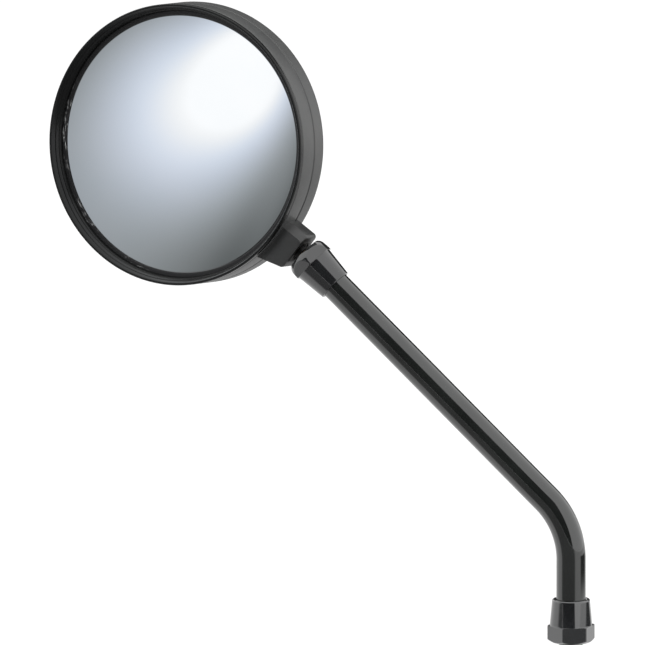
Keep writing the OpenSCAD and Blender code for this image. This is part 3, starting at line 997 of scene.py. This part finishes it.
def flatSheet(name, width, height, z=0.0):
    w, h = width / 2, height / 2
    data = bpy.data.meshes.new(name)
    data.from_pydata([(-w, -h, z), (w, -h, z), (w, h, z), (-w, h, z)], [], [(0, 1, 2, 3)])
    return newObject(name, data)


def stageCard(name, centre, target, width, height, level):
    # a card that only reflections see, with one level or a picture
    card = flatSheet(name, width, height)
    card.location = centre
    aim(card, Vector(target))
    material = bpy.data.materials.new(name)
    tree = emptyTree(material)
    colour = level(tree) if callable(level) else grey(level)
    light = node(tree, "ShaderNodeEmission", None, {"Color": colour, "Strength": 1.0})
    node(tree, "ShaderNodeOutputMaterial", None, {"Surface": light})
    card.data.materials.append(material)
    card.visible_camera = False
    card.visible_diffuse = False
    card.visible_shadow = False


floorLook = {
    "size": 12.0, "below": 0.0002,                            # metres
    "pale": 0.5, "glowNear": 0.26, "glowFar": 0.64, "reach": 1.2,     # the glow rises up to this far out
}


def setFloor():
    # white to the camera, and still darker where the object keeps the lamps off it
    floor = flatSheet("floor", floorLook["size"], floorLook["size"], cadBox[0][2] - floorLook["below"])
    material = bpy.data.materials.new("floor")
    tree = emptyTree(material)
    x, y, z = separated(objectPoint(tree))
    away = ((x * x + y * y).math("SQRT") / floorLook["reach"]).smaller(1.0)
    shine = mixedColour(away, grey(floorLook["glowNear"]), grey(floorLook["glowFar"]))
    matt = node(tree, "ShaderNodeBsdfDiffuse", None, {"Color": grey(floorLook["pale"])})
    glow = node(tree, "ShaderNodeEmission", None, {"Color": shine, "Strength": seenRays(tree)})
    both = node(tree, "ShaderNodeAddShader", None, {0: matt, 1: glow})
    node(tree, "ShaderNodeOutputMaterial", None, {"Surface": both})
    floor.data.materials.append(material)


def addLamp(name, azimuth, elevation, distance, size, power):
    data = bpy.data.lights.new(name, "AREA")
    data.shape = "RECTANGLE"
    data.size, data.size_y = size
    data.energy = power
    lamp = newObject(name, data)
    lamp.location = viewTarget + direction(azimuth, elevation) * distance
    aim(lamp, viewTarget)
    lamp.visible_glossy = False


setCamera()
setWorld()
setFloor()
lamps = {
    # azimuth, elevation, distance, width and height, watts
    "lamp_left": (-50, 35, 1.2, (0.9, 0.9), 9.0),
    "lamp_right": (85, 45, 1.2, (0.7, 0.9), 12.0),
    "lamp_top": (10, 80, 1.3, (1.0, 1.0), 7.0),
}
for name, values in lamps.items():
    addLamp(name, *values)

cards = {
    # azimuths and half angles in degrees, sizes in metres, levels from 0 to 1
    "frontAzimuth": -3.0, "frontDistance": 1.7, "frontSize": (3.4, 3.0), "frontLevel": 0.03,
    "backAzimuth": 185.0, "backDistance": 0.9, "backSize": (0.8, 1.2), "backLevel": 0.03,
    "tableSize": 3.0, "tableRise": 0.0005, "tableLevel": 0.72, "sectorSoft": 7.0,
    "tableFront": 0.16, "frontSector": 52.0,
    "tableBack": 0.06, "bandAzimuth": 126.0, "bandSector": 27.0,
    "bandFrom": 0.20, "bandTo": 0.50, "bandSoft": 0.08,
    "glassDistance": 1.2, "glassSize": 0.42,
}


def tablePicture(tree):
    # pale all round, with a dark sector in front and a dark band behind
    x, y, z = separated(objectPoint(tree))
    radius = (x * x + y * y).math("SQRT")
    soft = cards["bandSoft"]
    band = radius.step(cards["bandFrom"], cards["bandFrom"] + soft)
    band = band * (1.0 - radius.step(cards["bandTo"], cards["bandTo"] + soft))

    def sector(azimuth, half):
        look = direction(azimuth, 0)
        along = (x * look.x + y * look.y) / (radius + 0.0001)
        wide, narrow = half + cards["sectorSoft"], half - cards["sectorSoft"]
        return along.step(math.cos(math.radians(wide)), math.cos(math.radians(narrow)))

    frontShare = sector(cards["frontAzimuth"], cards["frontSector"])
    backShare = sector(cards["bandAzimuth"], cards["bandSector"]) * band
    front = 1.0 - frontShare * (1.0 - cards["tableFront"] / cards["tableLevel"])
    back = 1.0 - backShare * (1.0 - cards["tableBack"] / cards["tableLevel"])
    return mixedColour(front * back * cards["tableLevel"], grey(0.0), grey(1.0))


glassLook = {
    # what the glass shows, in mm to the right of its middle and above it, as the camera sees it
    "blobs": [
        # right, up, two radii, turn in degrees, strength
        (32.4, 33.7, 28.6, 19.7, 69.4, 0.85),
        (11.7, 21.6, 53.2, 46.6, 60.8, 1.19),
        (41.5, -25.4, 8.3, 62.4, -26.5, 0.13),
    ],
    "base": -0.137, "fallRight": -0.0055, "fallUp": -0.0036, "brightest": 1.05,
    "low": (0.94, 1.0, 1.0), "middle": (0.93, 1.0, 1.12), "high": (1.0, 1.0, 1.0),
    "lowToMiddle": (0.10, 0.66), "middleToHigh": (0.72, 1.0),
    "probe": 35,     # mm from the glass's middle, where the card's scale is taken
}


def mirroredAt(x, y, card, normal):
    # the camera's ray off a point of the glass: where it lands on the card, the point and the ray's way
    depth = head["glassDepth"] - glassSag(head["glassRadius"]) + glassSag(math.hypot(x, y))
    point = headFrame @ (Vector((x, y, -depth)) * mm)
    slope = Vector((x / head["glassCurve"], y / head["glassCurve"], 1.0)).normalized()
    outward = (headFrame.to_3x3() @ slope).normalized()
    ray = (point - viewEye).normalized()
    bounced = ray - outward * 2 * ray.dot(outward)
    reach = (card - point).dot(normal) / bounced.dot(normal)
    return point + bounced * reach, point, bounced


def glassCard():
    # the soft window that the glass reflects, hung where the camera sees it and drawn to its scale
    look = mirroredAt(0, 0, headOrigin, headOut)[2]
    centre = headOrigin + look * cards["glassDistance"]
    level = upward.cross(look).normalized()
    toCard = placeMatrix(level, look.cross(level), look, centre).inverted()
    right = direction(view["azimuth"] + 90, 0)
    up = direction(view["azimuth"], view["elevation"]).cross(right)
    landed = []
    for x, y in ((0, 0), (glassLook["probe"], 0), (0, glassLook["probe"])):
        spot, point, bounced = mirroredAt(x, y, centre, look)
        landed.append((toCard @ spot, (point - headOrigin).dot(right), (point - headOrigin).dot(up)))
    middle = landed[0]
    a, b = landed[1][0] - middle[0], landed[2][0] - middle[0]
    toLook = Matrix(((a.x, b.x), (a.y, b.y))).inverted()
    seen = Matrix(((landed[1][1] - middle[1], landed[2][1] - middle[1]),
                   (landed[1][2] - middle[2], landed[2][2] - middle[2])))
    turn = seen @ toLook

    def picture(tree):
        x, y, z = separated(objectPoint(tree))
        x, y = x - middle[0].x, y - middle[0].y
        across = (x * turn[0][0] + y * turn[0][1]) * 1000.0
        above = (x * turn[1][0] + y * turn[1][1]) * 1000.0
        light = across * glassLook["fallRight"] + above * glassLook["fallUp"] + glassLook["base"]
        for atRight, atUp, longRadius, shortRadius, angle, strength in glassLook["blobs"]:
            c, s = math.cos(math.radians(angle)), math.sin(math.radians(angle))
            u = ((across - atRight) * c + (above - atUp) * s) / longRadius
            v = ((above - atUp) * c - (across - atRight) * s) / shortRadius
            light = light + ((u * u + v * v) * -1.0).math("EXPONENT") * strength
        light = light.larger(0.0).smaller(glassLook["brightest"])
        low, medium, high = (toned(glassLook[tone]) for tone in ("low", "middle", "high"))
        tint = mixedColour(light.step(*glassLook["lowToMiddle"]), low, medium)
        tint = mixedColour(light.step(*glassLook["middleToHigh"]), tint, high)
        level = node(tree, "ShaderNodeCombineXYZ", None, {0: light, 1: light, 2: light})
        return node(tree, "ShaderNodeVectorMath", {"operation": "MULTIPLY"}, {0: level, 1: tint})

    stageCard("glass_card", centre, headOrigin, cards["glassSize"], cards["glassSize"], picture)


for side in ("front", "back"):
    place = viewTarget + direction(cards[side + "Azimuth"], 0) * cards[side + "Distance"]
    stageCard(side + "_flag", place, viewTarget, *cards[side + "Size"], cards[side + "Level"])
tableFoot = Vector((0, 0, cadBox[0][2]))
tableTop = tableFoot + Vector((0, 0, cards["tableRise"]))
stageCard("table_card", tableTop, tableFoot, cards["tableSize"], cards["tableSize"], tablePicture)
glassCard()

bpy.context.scene.view_settings.view_transform = "Standard"
print("studio set")
